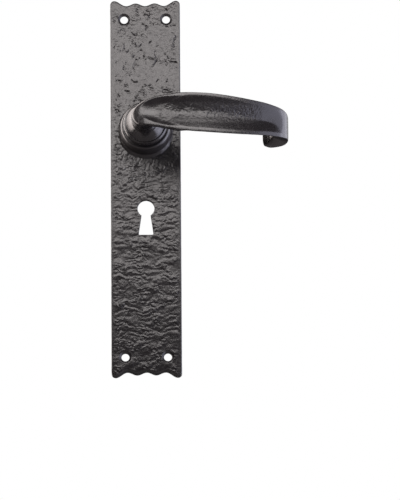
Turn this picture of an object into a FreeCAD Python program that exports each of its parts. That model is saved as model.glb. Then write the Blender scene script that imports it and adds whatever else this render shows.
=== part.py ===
import FreeCAD, Part
import math
import os

# Sprung lever handle on a long lock plate, one side of a door.
# X points along the lever to its tip, Z is up, and the handle faces -Y.
# The origin is on the spindle axis, in the plane of the door's face (y = 0).
# A depth is a distance out from the door's face, so a point at depth d has y = -d.

V = FreeCAD.Vector
OUTWARD = V(0, -1, 0)

# ---- driving dimensions, in millimetres ----
CENTRES = 57.0            # spindle axis to keyhole
PLATE_W = 49.6
PLATE_TOP = 94.9
PLATE_BOTTOM = -177.2
PLATE_DEPTH = 10.6
FACE_T = 3.0              # thickness of the hollow plate's face and side walls
END_WALL_T = 7.0          # thickness of its end walls, measured from the ears' tips
EDGE_R = 1.6              # rounding of the plate's front edge
CORNER_R = 2.8            # rounding of its four ears
EAR_X = PLATE_W / 2 - CORNER_R
HOLLOW_DIP = 3.8          # depth of the wavy ends' hollows below the ears
POINT_DIP = 1.8           # depth of the small points between them
HOLLOW_SHARE = 0.61       # where the outer hollows lie, as a share of EAR_X

SCREW_SPACING_X = 29.8
SCREW_SPACING_Z = 245.2
SCREW_TOP = 81.1
SCREW_R = 2.8
CSK_R = 4.3

KEY_ROUND_R = 5.95
KEY_SLOT_BOTTOM = CENTRES + 19.1
KEY_NECK_HALF = 3.2
KEY_NECK_Z = CENTRES + 5.0
KEY_FLARE_HALF = 5.05
KEY_FLARE_Z = CENTRES + 17.6
KEY_CORNER_R = 1.0

BOSS_HEIGHT = 12.3
BOSS_FACE = PLATE_DEPTH + BOSS_HEIGHT
BOSS_CAVITY_R = 14.2
BOSS_WALL_T = 5.3         # thickness of the boss's front wall, which holds the bush
CAVITY_END = BOSS_FACE - BOSS_WALL_T

SHANK_R = 8.0
SHANK_FLAT = 6.7          # half the width across the shank's two flats
SHANK_END = 0.35          # depth of the shank's rear end
SOCKET = 8.1              # square socket for an 8 mm spindle
SOCKET_DEPTH = 38.0
RUN_GAP = 0.05            # radial clearance of a running fit
THROUGH = 1.0             # how far a cutting tool runs past the surface it opens

BUSH_SLEEVE_R = 10.0
BUSH_FLANGE_R = 12.0
BUSH_FLANGE_T = 1.9
COLLAR_BACK = BOSS_FACE + BUSH_FLANGE_T

REAR_BUSH_R = 9.6
REAR_FLANGE_R = 11.4
REAR_FLANGE_T = 0.7

CAM_BACK = 5.0
CAM_T = 2.4
CAM_FRONT = CAM_BACK + CAM_T
CAM_HUB_R = 13.2
CAM_ARM_R = 19.2
CAM_ARM_HALF = 4.0
STOP_PIN_R = 1.75
STOP_PIN_CIRCLE = 16.2
STOP_PIN_GAP = 0.03       # between the cam's arm and the pin it rests against
STOP_PIN_DEPTH = 1.2      # how far a pin is let into the boss
LEVER_TRAVEL = 40.0       # degrees, from rest to the stop

SPRING_WIRE_R = 0.85
SPRING_COIL_R = 11.9
SPRING_TURNS = 4
SPRING_PITCH = 1.95
TANG_LENGTH = 3.6
TANG_HOLE_R = SPRING_WIRE_R + 0.2

COVER_FRONT = 3.6
COVER_T = 1.2
COVER_BACK = COVER_FRONT - COVER_T
COVER_R = 20.5
EAR_Z = 26.0              # cover screws, above and below the spindle
PILLAR_R = 4.6
COVER_EAR_R = PILLAR_R + 0.4
PILLAR_HOLE_END = PLATE_DEPTH - 2.2
SCREW_M4_R = 2.0
M4_HEAD_R = 3.6
M4_HEAD_T = 1.9
M4_HEAD_ROUND = 0.8
M4_END = PILLAR_HOLE_END - 0.4
CROSS_LENGTH = 1.9        # half length and half width of a screw's cross recess
CROSS_WIDTH = 0.45
CROSS_DEPTH = 1.1

WAVE_MEAN_R = 10.0
WAVE_WIDTH = 2.2
WAVE_T = 0.3
WAVE_LIFT = 0.14
WAVE_COUNT = 3

CIRCLIP_T = 1.0
CIRCLIP_BACK = 0.7
CIRCLIP_FRONT = CIRCLIP_BACK + CIRCLIP_T
CIRCLIP_R = 9.6
CIRCLIP_GAP_HALF = 1.3
LUG_CIRCLE = 10.0
LUG_R = 1.6
LUG_HOLE_R = 0.7
LUG_ANGLES = (257, 283)
GROOVE_R = 7.25
THRUST_R = 11.2
PLAY = 0.05               # end play either side of a ring on the shank

# Boss: radius and height above the plate's face, from the plate to the end face.
BOSS_PROFILE = [
    (19.2, 0.0), (18.8, 0.6), (18.5, 2.6), (18.1, 6.0), (17.6, 9.0),
    (17.3, 11.2), (16.9, 12.0), (16.0, BOSS_HEIGHT),
]

# Collar: radius and distance out from its rear face, bead first and then the
# hollow flare that runs up into the neck.
COLLAR_PROFILE = [
    (14.2, 0.0), (15.4, 1.2), (15.6, 3.4), (15.4, 6.0), (14.8, 7.2), (12.8, 8.6),
    (11.0, 10.0), (9.6, 12.2), (8.7, 15.2),
]

# Grip: one station per line, from the neck to the curled end.
# X and height above the plate's face of the section's centre, heading in degrees
# (90 is straight out from the plate, 0 is along +X), thickness, top and bottom Z,
# and how deep the front face is dished.
GRIP_STATIONS = [
    (-0.4, 19.3, 90, 15.8, 7.9, -7.9, 0.0),
    (-0.7, 28.0, 90, 17.2, 8.6, -8.6, 0.0),
    (-0.6, 35.2, 88, 16.8, 8.5, -8.5, 0.0),
    (0.4, 41.5, 74, 16.8, 9.0, -9.2, 0.0),
    (3.5, 45.9, 48, 15.8, 10.3, -10.2, 0.3),
    (10.1, 48.8, 22, 13.9, 11.5, -12.0, 0.8),
    (18.3, 51.1, 8, 12.4, 12.2, -13.8, 1.1),
    (30.8, 52.1, 1, 12.5, 12.5, -15.5, 1.2),
    (44.3, 51.5, -5, 12.3, 12.0, -16.4, 1.2),
    (57.8, 49.2, -12, 11.0, 10.8, -16.7, 1.2),
    (71.3, 45.8, -18, 10.0, 9.1, -16.6, 1.1),
    (83.4, 41.1, -31, 9.9, 7.3, -16.2, 0.9),
    (91.9, 34.5, -56, 11.0, 5.0, -15.9, 0.5),
    (94.6, 27.2, -88, 12.0, 2.2, -15.7, 0.2),
    (92.8, 20.8, -122, 11.8, 1.0, -17.2, 0.0),
    (87.4, 17.9, -152, 7.1, 0.6, -18.0, 0.0),
    (83.8, 17.7, -168, 3.5, -0.1, -17.0, 0.0),
]
SECTION_CORNER = 2.6      # rounding of the grip's long edges
ROUND_SHARE = 0.47        # the same rounding where the section is nearly round
ROUND_HEADING = 60        # stations steeper than this are nearly round
SIDE_DRAFT = 0.25         # how fast the long sides draw in towards the grip's back
DRAFT_HEADING = 15        # stations steeper than this have less of it


def at(x, depth, z=0.0):
    return V(x, -depth, z)


def disc(radius, low, high, x=0.0, z=0.0):
    """A solid cylinder along Y between two depths."""
    return Part.makeCylinder(radius, high - low, at(x, low, z), OUTWARD)


def hole(radius, low, high, x=0.0, z=0.0):
    """A cutting cylinder that runs past both depths."""
    return disc(radius, low - THROUGH, high + THROUGH, x, z)


def ring(outer, inner, low, high):
    return disc(outer, low, high).cut(hole(inner, low, high))


def slab(x0, x1, z0, z1, low, high):
    return Part.makeBox(x1 - x0, high - low, z1 - z0, at(x0, high, z0))


def turned(profile):
    """Revolves (radius, depth) points, closed along the axis, about the spindle axis."""
    points = [at(r, d) for r, d in profile]
    wire = Part.makePolygon(points + [points[0]])
    return Part.Face(wire).revolve(V(0, 0, 0), V(0, 1, 0), 360)


def on_circle(radius, degrees):
    a = math.radians(degrees)
    return radius * math.cos(a), radius * math.sin(a)


# ---- plate ----

def scallop(x):
    """How far the wavy end dips at x: three hollows between two small points and two ears."""
    share = abs(x) / EAR_X
    if share < HOLLOW_SHARE:
        wave = 0.5 + 0.5 * math.cos(2 * math.pi * share / HOLLOW_SHARE)
        return POINT_DIP + (HOLLOW_DIP - POINT_DIP) * wave
    rise = (share - HOLLOW_SHARE) / (1 - HOLLOW_SHARE)
    return HOLLOW_DIP * (0.5 + 0.5 * math.cos(math.pi * rise))


def end_edge(edge_z, sign, y):
    """The wavy end as one smooth curve from the left ear to the right one."""
    steps = 24
    xs = [EAR_X * (2 * i / steps - 1) for i in range(steps + 1)]
    points = [V(x, y, edge_z - sign * scallop(x)) for x in xs]
    curve = Part.BSplineCurve()
    curve.interpolate(Points=points, InitialTangent=V(1, 0, 0), FinalTangent=V(1, 0, 0))
    return curve.toShape()


def ear_corner(x_sign, edge_z, sign, inset, y):
    radius = CORNER_R - inset
    turn = radius * (1 - math.sqrt(0.5))
    side = EAR_X + radius
    start = V(x_sign * EAR_X, y, edge_z)
    end = V(x_sign * side, y, edge_z - sign * radius)
    middle = V(x_sign * (side - turn), y, edge_z - sign * turn)
    return Part.Arc(start, middle, end).toShape()


def plate_outline(inset, depth):
    """The plate's outline, drawn in by an inset, at one depth."""
    half, y = PLATE_W / 2 - inset, -depth
    top, bottom = PLATE_TOP - inset, PLATE_BOTTOM + inset
    straight = PLATE_TOP - CORNER_R, PLATE_BOTTOM + CORNER_R
    edges = [
        end_edge(top, 1, y),
        ear_corner(1, top, 1, inset, y),
        Part.makeLine(V(half, y, straight[0]), V(half, y, straight[1])),
        ear_corner(1, bottom, -1, inset, y),
        end_edge(bottom, -1, y),
        ear_corner(-1, bottom, -1, inset, y),
        Part.makeLine(V(-half, y, straight[1]), V(-half, y, straight[0])),
        ear_corner(-1, top, 1, inset, y),
    ]
    return Part.Wire(Part.__sortEdges__(edges))


def plate_block():
    """The solid plate: square sides and a front edge rounded in four narrow bands."""
    shoulder = PLATE_DEPTH - EDGE_R
    body = Part.Face(plate_outline(0, 0)).extrude(OUTWARD * shoulder)
    bands = 4
    turns = [0.5 * math.pi * i / bands for i in range(bands + 1)]
    rims = [plate_outline(EDGE_R * (1 - math.cos(a)), shoulder + EDGE_R * math.sin(a))
            for a in turns]
    return body.fuse(Part.makeLoft(rims, True, True))


def keyhole():
    """Round above a slot that flares towards its rounded foot."""
    foot, r = -KEY_SLOT_BOTTOM, KEY_CORNER_R
    bend = r * (1 - math.sqrt(0.5))
    half = KEY_FLARE_HALF

    def p(x, z):
        return V(x, THROUGH, z)

    edges = []
    for side in (-1, 1):
        edges.append(Part.makeLine(p(side * KEY_NECK_HALF, -CENTRES),
                                   p(side * KEY_NECK_HALF, -KEY_NECK_Z)))
        edges.append(Part.makeLine(p(side * KEY_NECK_HALF, -KEY_NECK_Z),
                                   p(side * half, -KEY_FLARE_Z)))
        edges.append(Part.makeLine(p(side * half, -KEY_FLARE_Z), p(side * half, foot + r)))
        corner = Part.Arc(p(side * half, foot + r), p(side * (half - bend), foot + bend),
                          p(side * (half - r), foot))
        edges.append(corner.toShape())
    edges.append(Part.makeLine(p(r - half, foot), p(half - r, foot)))
    edges.append(Part.makeLine(p(-KEY_NECK_HALF, -CENTRES), p(KEY_NECK_HALF, -CENTRES)))
    outline = Part.Wire(Part.__sortEdges__(edges))
    slot = Part.Face(outline).extrude(OUTWARD * (PLATE_DEPTH + 2 * THROUGH))
    return slot.fuse(hole(KEY_ROUND_R, 0, PLATE_DEPTH, 0, -CENTRES))


def screw_positions():
    low = SCREW_TOP - SCREW_SPACING_Z
    half = SCREW_SPACING_X / 2
    return [(x, z) for z in (SCREW_TOP, low) for x in (-half, half)]


def countersunk_hole(x, z):
    sink_t = CSK_R - SCREW_R
    sink = Part.makeCone(SCREW_R, CSK_R, sink_t, at(x, PLATE_DEPTH - sink_t, z), OUTWARD)
    return hole(SCREW_R, 0, PLATE_DEPTH, x, z).fuse(sink)


def boss_body():
    """The round boss on the plate's face, barrel sided with a rounded lip."""
    root = PLATE_DEPTH - FACE_T
    profile = [(0, root), (BOSS_PROFILE[0][0], root)]
    profile += [(r, PLATE_DEPTH + height) for r, height in BOSS_PROFILE]
    return turned(profile + [(0, BOSS_FACE)])


def plate_hollow():
    """The open back of the plate, inside its rim."""
    half = PLATE_W / 2 - FACE_T
    hollow = slab(-half, half, PLATE_BOTTOM + END_WALL_T, PLATE_TOP - END_WALL_T,
                  -THROUGH, PLATE_DEPTH - FACE_T)
    upright = [e for e in hollow.Edges if abs(e.Vertexes[0].Y - e.Vertexes[-1].Y) > 1]
    return hollow.makeFillet(CORNER_R, upright)


def backplate():
    """Hollow cast plate with its boss, two cover pillars and the holes cast through it."""
    body = plate_block().cut(plate_hollow()).fuse(boss_body())
    body = body.cut(disc(BOSS_CAVITY_R, -THROUGH, CAVITY_END))
    body = body.cut(hole(BUSH_SLEEVE_R + RUN_GAP, 0, BOSS_FACE))
    for z in (-EAR_Z, EAR_Z):
        body = body.fuse(disc(PILLAR_R, COVER_FRONT, PLATE_DEPTH - FACE_T / 2, 0, z))
        body = body.cut(disc(SCREW_M4_R, -THROUGH, PILLAR_HOLE_END, 0, z))
    for x, z in stop_pin_positions():
        body = body.cut(disc(STOP_PIN_R, -THROUGH, PLATE_DEPTH + STOP_PIN_DEPTH, x, z))
    x, z = spring_front_tang()
    body = body.cut(disc(TANG_HOLE_R, CAVITY_END - THROUGH, CAVITY_END + TANG_LENGTH, x, z))
    for x, z in screw_positions():
        body = body.cut(countersunk_hole(x, z))
    return body.cut(keyhole()).removeSplitter()


# ---- lever ----

def section_wire(station):
    """A rounded rectangle across the grip, its front side dished about the middle."""
    x, height, heading, thick, top, bottom, dish = station
    a = math.radians(heading)
    n = V(-math.sin(a), -math.cos(a), 0)
    centre = at(x, height + PLATE_DEPTH)
    r = min(SECTION_CORNER, ROUND_SHARE * thick)
    if heading > ROUND_HEADING:
        r = ROUND_SHARE * thick
    middle = (top + bottom) / 2
    half_t, half_z = thick / 2, (top - bottom) / 2
    share = (ROUND_HEADING - heading) / (ROUND_HEADING - DRAFT_HEADING)
    draft = SIDE_DRAFT * min(max(share, 0.0), 1.0)

    def p(side, up):
        drawn_in = 1 - draft * (half_t - side) / half_z
        return centre + n * side + V(0, 0, middle + up * drawn_in)

    inset_t, inset_z, k = half_t - r, half_z - r, math.sqrt(0.5)
    edges = []
    corners = [(1, 1), (1, -1), (-1, -1), (-1, 1)]
    for i, (s, u) in enumerate(corners):
        on_front = p(s * half_t, u * inset_z)
        on_edge = p(s * inset_t, u * half_z)
        bend = p(s * (inset_t + r * k), u * (inset_z + r * k))
        first, last = (on_edge, on_front) if s == u else (on_front, on_edge)
        edges.append(Part.Arc(first, bend, last).toShape())
        next_s, next_u = corners[(i + 1) % 4]
        if s == next_s:
            after = p(s * half_t, next_u * inset_z)
            sag = dish if s == 1 else 0.0
            valley = p(s * half_t - sag, 0)
            edges.append(Part.makeLine(last, valley))
            edges.append(Part.makeLine(valley, after))
        else:
            edges.append(Part.makeLine(last, p(next_s * inset_t, next_u * half_z)))
    return Part.Wire(edges)


def grip_body():
    solid, ruled, closed, degree = True, False, False, 2
    sections = [section_wire(s) for s in GRIP_STATIONS]
    return Part.makeLoft(sections, solid, ruled, closed, degree)


def collar_body():
    """Bead next to the boss, hollowed into the neck."""
    profile = [(r, COLLAR_BACK + out) for r, out in COLLAR_PROFILE]
    return turned([(0, COLLAR_BACK)] + profile + [(0, profile[-1][1])])


def shank_flats(half_width, low, high):
    """The two slabs that cut a round shank down to its flats."""
    wide = 2 * SHANK_R
    upper = slab(-wide, wide, half_width, wide, low, high)
    lower = slab(-wide, wide, -wide, -half_width, low, high)
    return upper.fuse(lower)


def lever():
    """Grip, neck, collar and shank in one casting, with the spindle's square socket."""
    body = collar_body().fuse(grip_body())
    shank = disc(SHANK_R, SHANK_END, COLLAR_BACK + THROUGH)
    shank = shank.cut(shank_flats(SHANK_FLAT, -THROUGH, CAM_FRONT + PLAY))
    groove = ring(SHANK_R + THROUGH, GROOVE_R, CIRCLIP_BACK - PLAY, CIRCLIP_FRONT + PLAY)
    body = body.fuse(shank.cut(groove))
    half = SOCKET / 2
    body = body.cut(slab(-half, half, -half, half, -THROUGH, SOCKET_DEPTH))
    return body.removeSplitter()


# ---- bearings ----

def neck_bush():
    """Flanged front bearing; the flange fills the groove between boss and collar."""
    sleeve_back = CAM_FRONT + 2 * SPRING_WIRE_R
    outer = disc(BUSH_SLEEVE_R, sleeve_back, BOSS_FACE)
    outer = outer.fuse(disc(BUSH_FLANGE_R, BOSS_FACE, COLLAR_BACK))
    return outer.cut(hole(SHANK_R + RUN_GAP, 0, COLLAR_BACK))


def rear_bush():
    """Flanged ring that carries the shank in the cover plate."""
    flange_front = COVER_FRONT + REAR_FLANGE_T
    outer = disc(REAR_BUSH_R, COVER_BACK, COVER_FRONT)
    outer = outer.fuse(disc(REAR_FLANGE_R, COVER_FRONT, flange_front))
    return outer.cut(hole(SHANK_R + RUN_GAP, COVER_BACK, flange_front))


# ---- spring pack ----

def stop_pin_positions():
    """Pins either side of the cam's arm: one at rest, one at the end of its travel."""
    reach = CAM_ARM_HALF + STOP_PIN_R + STOP_PIN_GAP
    lead = math.degrees(math.asin(reach / STOP_PIN_CIRCLE))
    rest_pin = on_circle(STOP_PIN_CIRCLE, 90 + lead)
    travel_pin = on_circle(STOP_PIN_CIRCLE, 90 - LEVER_TRAVEL - lead)
    return rest_pin, travel_pin


def stop_pin(position):
    x, z = position
    return disc(STOP_PIN_R, COVER_FRONT + REAR_FLANGE_T, PLATE_DEPTH + STOP_PIN_DEPTH, x, z)


def spring_rear_tang():
    return on_circle(SPRING_COIL_R, 0)


def spring_front_tang():
    return on_circle(SPRING_COIL_R, 360 * SPRING_TURNS)


def drive_cam():
    """Disc keyed on the shank's flats; its arm meets the stop pins."""
    tip_z = CAM_ARM_R - CAM_ARM_HALF
    body = disc(CAM_HUB_R, CAM_BACK, CAM_FRONT)
    arm = slab(-CAM_ARM_HALF, CAM_ARM_HALF, 0, tip_z, CAM_BACK, CAM_FRONT)
    body = body.fuse(arm).fuse(disc(CAM_ARM_HALF, CAM_BACK, CAM_FRONT, 0, tip_z))
    keyed = hole(SHANK_R + RUN_GAP, CAM_BACK, CAM_FRONT)
    flats = shank_flats(SHANK_FLAT + RUN_GAP, CAM_BACK - 2 * THROUGH, CAM_FRONT + 2 * THROUGH)
    x, z = spring_rear_tang()
    body = body.cut(keyed.cut(flats)).cut(hole(TANG_HOLE_R, CAM_BACK, CAM_FRONT, x, z))
    return body.removeSplitter()


def return_spring():
    """Torsion coil round the bush, one tang in the cam and one in the boss."""
    start = CAM_FRONT + 0.2 + SPRING_WIRE_R
    length = SPRING_TURNS * SPRING_PITCH
    tang_r = 0.98 * SPRING_WIRE_R
    helix = Part.makeHelix(SPRING_PITCH, length, SPRING_COIL_R)
    path = Part.Wire(helix.Edges)
    wire = Part.Wire(Part.makeCircle(SPRING_WIRE_R, V(SPRING_COIL_R, 0, 0), V(0, 1, 0)))
    coil = path.makePipeShell([wire], True, True)
    coil.rotate(V(0, 0, 0), V(1, 0, 0), 90)
    coil.translate(V(0, -start, 0))
    x, z = spring_rear_tang()
    rear = disc(tang_r, CAM_BACK + THROUGH / 2, start, x, z)
    x, z = spring_front_tang()
    front = disc(tang_r, start + length, start + length + TANG_LENGTH, x, z)
    return coil.fuse(rear).fuse(front)


def wave_washer():
    """Thin ring with three waves that takes up the end play behind the cam."""
    middle = COVER_FRONT + REAR_FLANGE_T + WAVE_T / 2 + WAVE_LIFT + PLAY
    steps = 16 * WAVE_COUNT
    points = []
    for i in range(steps):
        turn = i / steps
        x, z = on_circle(WAVE_MEAN_R, 360 * turn)
        depth = middle + WAVE_LIFT * math.cos(2 * math.pi * WAVE_COUNT * turn)
        points.append(at(x, depth, z))
    curve = Part.BSplineCurve()
    curve.interpolate(Points=points, PeriodicFlag=True)
    y = points[0].y
    corners = [V(WAVE_MEAN_R + s * WAVE_WIDTH / 2, y + t * WAVE_T / 2, 0)
               for s, t in ((-1, -1), (1, -1), (1, 1), (-1, 1))]
    sweep = Part.BRepOffsetAPI.MakePipeShell(Part.Wire(curve.toShape()))
    sweep.setBiNormalMode(V(0, 1, 0))
    sweep.add(Part.makePolygon(corners + [corners[0]]))
    sweep.build()
    sweep.makeSolid()
    return sweep.shape()


def cover_plate():
    """Round cover with an ear over each pillar."""
    body = disc(COVER_R, COVER_BACK, COVER_FRONT)
    for z in (-EAR_Z, EAR_Z):
        ear = disc(COVER_EAR_R, COVER_BACK, COVER_FRONT, 0, z)
        web = slab(-COVER_EAR_R, COVER_EAR_R, min(0, z), max(0, z), COVER_BACK, COVER_FRONT)
        body = body.fuse(ear).fuse(web)
    body = body.cut(hole(REAR_BUSH_R + RUN_GAP, COVER_BACK, COVER_FRONT))
    for z in (-EAR_Z, EAR_Z):
        body = body.cut(hole(SCREW_M4_R + 0.25, COVER_BACK, COVER_FRONT, 0, z))
    return body.removeSplitter()


def cover_screw(z):
    """A low pan-head screw with a cross recess."""
    back = COVER_BACK - M4_HEAD_T
    head = disc(M4_HEAD_R, back, COVER_BACK, 0, z)
    rim = [e for e in head.Edges if abs(e.Vertexes[0].Y + back) < 0.01
           and len(e.Vertexes) == 1]
    head = head.makeFillet(M4_HEAD_ROUND, rim)
    body = head.fuse(disc(SCREW_M4_R - RUN_GAP, COVER_BACK - M4_HEAD_T / 2, M4_END, 0, z))
    for w, h in ((CROSS_LENGTH, CROSS_WIDTH), (CROSS_WIDTH, CROSS_LENGTH)):
        body = body.cut(slab(-w, w, z - h, z + h, back - THROUGH, back + CROSS_DEPTH))
    return body


# ---- retaining stack behind the cover ----

def thrust_washer():
    return ring(THRUST_R, SHANK_R + 2 * RUN_GAP, CIRCLIP_FRONT + PLAY, COVER_BACK - PLAY)


def circlip():
    """External retaining ring with an open gap and two drilled lugs."""
    low, high = CIRCLIP_BACK, CIRCLIP_FRONT
    body = disc(CIRCLIP_R, low, high)
    for degrees in LUG_ANGLES:
        x, z = on_circle(LUG_CIRCLE, degrees)
        body = body.fuse(disc(LUG_R, low, high, x, z))
    body = body.cut(slab(-CIRCLIP_GAP_HALF, CIRCLIP_GAP_HALF, -LUG_CIRCLE - 2 * LUG_R, 0,
                         low - THROUGH, high + THROUGH))
    for degrees in LUG_ANGLES:
        x, z = on_circle(LUG_CIRCLE, degrees)
        body = body.cut(hole(LUG_HOLE_R, low, high, x, z))
    return body.cut(hole(GROOVE_R + PLAY, low, high)).removeSplitter()


REST_PIN, TRAVEL_PIN = stop_pin_positions()
NODES = {
    "backplate": backplate,
    "lever": lever,
    "neck_bush": neck_bush,
    "rear_bush": rear_bush,
    "drive_cam": drive_cam,
    "return_spring": return_spring,
    "stop_pin_rest": lambda: stop_pin(REST_PIN),
    "stop_pin_travel": lambda: stop_pin(TRAVEL_PIN),
    "wave_washer": wave_washer,
    "cover_plate": cover_plate,
    "cover_screw_upper": lambda: cover_screw(EAR_Z),
    "cover_screw_lower": lambda: cover_screw(-EAR_Z),
    "thrust_washer": thrust_washer,
    "circlip": circlip,
}


def main():
    os.makedirs("parts", exist_ok=True)
    for name, build in NODES.items():
        shape = build()
        shape.exportStep(f"parts/{name}.step")
        solids = len(shape.Solids)
        print(f"{name}: {solids} solid(s), valid {shape.isValid()}, {shape.Volume:.1f} mm3")


main()
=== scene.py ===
import math

import bmesh
import bpy
import numpy as np
from mathutils import Matrix, Vector, geometry, noise


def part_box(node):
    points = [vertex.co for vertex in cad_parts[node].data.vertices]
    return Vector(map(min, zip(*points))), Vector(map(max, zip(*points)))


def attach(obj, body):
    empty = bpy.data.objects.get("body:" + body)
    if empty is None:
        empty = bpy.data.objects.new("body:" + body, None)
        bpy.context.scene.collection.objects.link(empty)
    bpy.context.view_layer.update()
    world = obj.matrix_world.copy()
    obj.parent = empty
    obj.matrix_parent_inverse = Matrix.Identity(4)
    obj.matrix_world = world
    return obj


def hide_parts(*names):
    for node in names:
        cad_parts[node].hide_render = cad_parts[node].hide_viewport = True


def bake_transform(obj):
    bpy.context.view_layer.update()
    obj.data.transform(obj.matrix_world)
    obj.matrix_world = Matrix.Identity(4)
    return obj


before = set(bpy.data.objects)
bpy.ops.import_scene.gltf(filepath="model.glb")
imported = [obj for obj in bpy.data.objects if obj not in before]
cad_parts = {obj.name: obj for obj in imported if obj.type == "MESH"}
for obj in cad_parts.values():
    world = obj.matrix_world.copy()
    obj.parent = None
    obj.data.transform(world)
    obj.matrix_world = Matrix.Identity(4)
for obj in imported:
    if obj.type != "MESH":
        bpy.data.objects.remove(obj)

noise.seed_set(1)         # otherwise noise_vector starts from the time of day

# A lever handle on a long lock plate: the camera, the light and the detailed meshes.
# Numbers are millimetres in the row's frame, and degrees. A depth is a distance out
# from the door's face, so depth d lies at y = -d. MM turns millimetres into metres.
MM = 0.001
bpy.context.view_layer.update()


def node_box(name):
    """A CAD node's lowest and highest corner, in millimetres."""
    low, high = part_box(name)
    return [v / MM for v in low], [v / MM for v in high]


plate_low, plate_high = node_box("backplate")
bush_low, _ = node_box("neck_bush")
cam_low, cam_high = node_box("drive_cam")

# ---- the plate's sizes ----
HALF_W = plate_high[0]
TOP, BOTTOM = plate_high[2], plate_low[2]
BOSS_FACE = -plate_low[1]
PLATE_DEPTH = 10.6
FACE_T = 3.0
INNER = PLATE_DEPTH - FACE_T
END_WALL_T = 7.0
EDGE_R = 1.1
CORNER_R = 2.8
EAR_X = HALF_W - CORNER_R
# The scalloped ends: how far hollows and points lie below the ears, and how far out
# from the middle, as a share of the ears' distance, the outer hollows reach.
HOLLOW_DIP, POINT_DIP, HOLLOW_SHARE = 3.8, 1.8, 0.61
SCREWS = [(x, z) for z in (81.1, -164.1) for x in (-14.9, 14.9)]
SCREW_R, CSK_R = 2.8, 4.3
KEY_Z, KEY_R = -57.0, 5.95
KEY_NECK = (3.2, KEY_Z - 5.02)
KEY_FOOT = KEY_Z - 19.1
# The slot's side: half width, Z and corner radius where its flare ends and at its foot.
KEY_SIDE = [(5.05, KEY_Z - 17.6, 0.6), (5.05, KEY_FOOT, 1.1)]
CAVITY_R, CAVITY_END = 14.2, BOSS_FACE - 5.3
SLEEVE_HOLE_R = 10.05
PILLAR_R, PILLAR_Z, PILLAR_END = 4.6, 26.0, 3.6
SINK_R, BOSS_ROOT_R, PILLAR_ROOT_R = CSK_R + 0.45, 19.7, PILLAR_R + 1.2
BOSS_FOOT = 1.3           # how much fuller the boss's foot is below than above
BOSS_SMOOTH_R = 14.2      # inside this radius the boss is turned smooth
KEY_EDGE = 0.35           # how far the keyhole's rounded edge reaches out on the face
BACK_BREAK = 0.3          # the broken edge round the plate's open back
HOLLOW_CORNER_R = 3.0

# ---- the lever's sizes ----
COLLAR_BACK = -bush_low[1]
SHANK_R, SHANK_FLAT, SHANK_END = 8.0, 6.7, 0.35
FLATS_END = -cam_low[1] + 0.05
GROOVE_R, GROOVE = 7.25, (0.65, 1.75)
SOCKET_HALF, SOCKET_END = 4.05, 38.0

# ---- how fine the meshes are ----
EDGE_STEP = 0.6
FACE_STEP = 0.5
BACK_STEP = 2.2
TURN_STEPS = 160
CURVE_STEPS = 6           # per rounded corner


def smooth(low, high, v):
    """0 up to low, 1 from high on, and a smooth rise in between."""
    t = min(max((v - low) / (high - low), 0.0), 1.0)
    return t * t * (3 - 2 * t)


def bump(v, centre, width):
    """1 at centre, falling smoothly to 0 a width away."""
    t = min(abs(v - centre) / width, 1.0)
    return (1 - t * t) ** 2


# ---- mesh building ----

class Shell:
    """Gathers points, in millimetres, and faces for one mesh. A loop is a list of the
    numbers of its points."""

    def __init__(self):
        self.points, self.faces = [], []

    def loop(self, points):
        first = len(self.points)
        self.points += [tuple(p) for p in points]
        return list(range(first, len(self.points)))

    def bridge(self, a, b):
        """Four-sided faces between two loops of the same length."""
        n = len(a)
        for i in range(n):
            j = (i + 1) % n
            self.faces.append((a[i], a[j], b[j], b[i]))

    def chain(self, loops):
        for a, b in zip(loops, loops[1:]):
            self.bridge(a, b)

    def fan(self, loop, centre):
        """Closes a loop with triangles round a new point."""
        middle = self.loop([centre])[0]
        for i, a in enumerate(loop):
            self.faces.append((a, loop[(i + 1) % len(loop)], middle))

    def fill(self, outer, holes, inner_points, place, keep):
        """Triangles between an outer loop and holes in it, through further flat points.
        Place turns a flat point into a real one, and keep says which middles count."""
        flat, origin, edges = [], [], []
        for loop in [outer] + holes:
            first = len(flat)
            for k, i in enumerate(loop):
                x, _, z = self.points[i]
                flat.append(Vector((x, z)))
                origin.append(i)
                edges.append((first + k, first + (k + 1) % len(loop)))
        flat += [Vector(p) for p in inner_points]
        origin += self.loop([place(*p) for p in inner_points])
        spots, _, tris, where, _, _ = geometry.delaunay_2d_cdt(flat, edges, [], 0, 1e-7)
        middles = np.array(spots)[np.array(tris)].mean(axis=1)
        for tri, wanted in zip(tris, keep(middles)):
            if wanted:
                self.faces.append(tuple(origin[where[i][0]] for i in tri))

    def make(self, name, material, sharp=40):
        """The Blender object, with edges over an angle in degrees left sharp."""
        mesh = bpy.data.meshes.new(name)
        mesh.from_pydata([(x * MM, y * MM, z * MM) for x, y, z in self.points], [], self.faces)
        mesh.validate()
        obj = bpy.data.objects.new(name, mesh)
        bpy.context.scene.collection.objects.link(obj)
        tidy_normals(mesh, sharp)
        mesh.materials.append(material)
        return obj


def tidy_normals(mesh, sharp):
    """Drops points without faces, turns all faces outwards and shades them smooth."""
    bm = bmesh.new()
    bm.from_mesh(mesh)
    loose = [v for v in bm.verts if not v.link_faces]
    bmesh.ops.delete(bm, geom=loose, context="VERTS")
    bmesh.ops.recalc_face_normals(bm, faces=bm.faces)
    bm.to_mesh(mesh)
    bm.free()
    mesh.shade_smooth()
    mesh.set_sharp_from_angle(angle=math.radians(sharp))


def circle(radius, count=TURN_STEPS, x=0.0, z=0.0):
    """Points round a circle in the plate's plane, from the +X side towards +Z."""
    turns = [2 * math.pi * i / count for i in range(count)]
    return [(x + radius * math.cos(a), z + radius * math.sin(a)) for a in turns]


def at_depth(flat, depth):
    """Flat points set at a distance out from the door's face."""
    return [(x, -depth, z) for x, z in flat]


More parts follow.
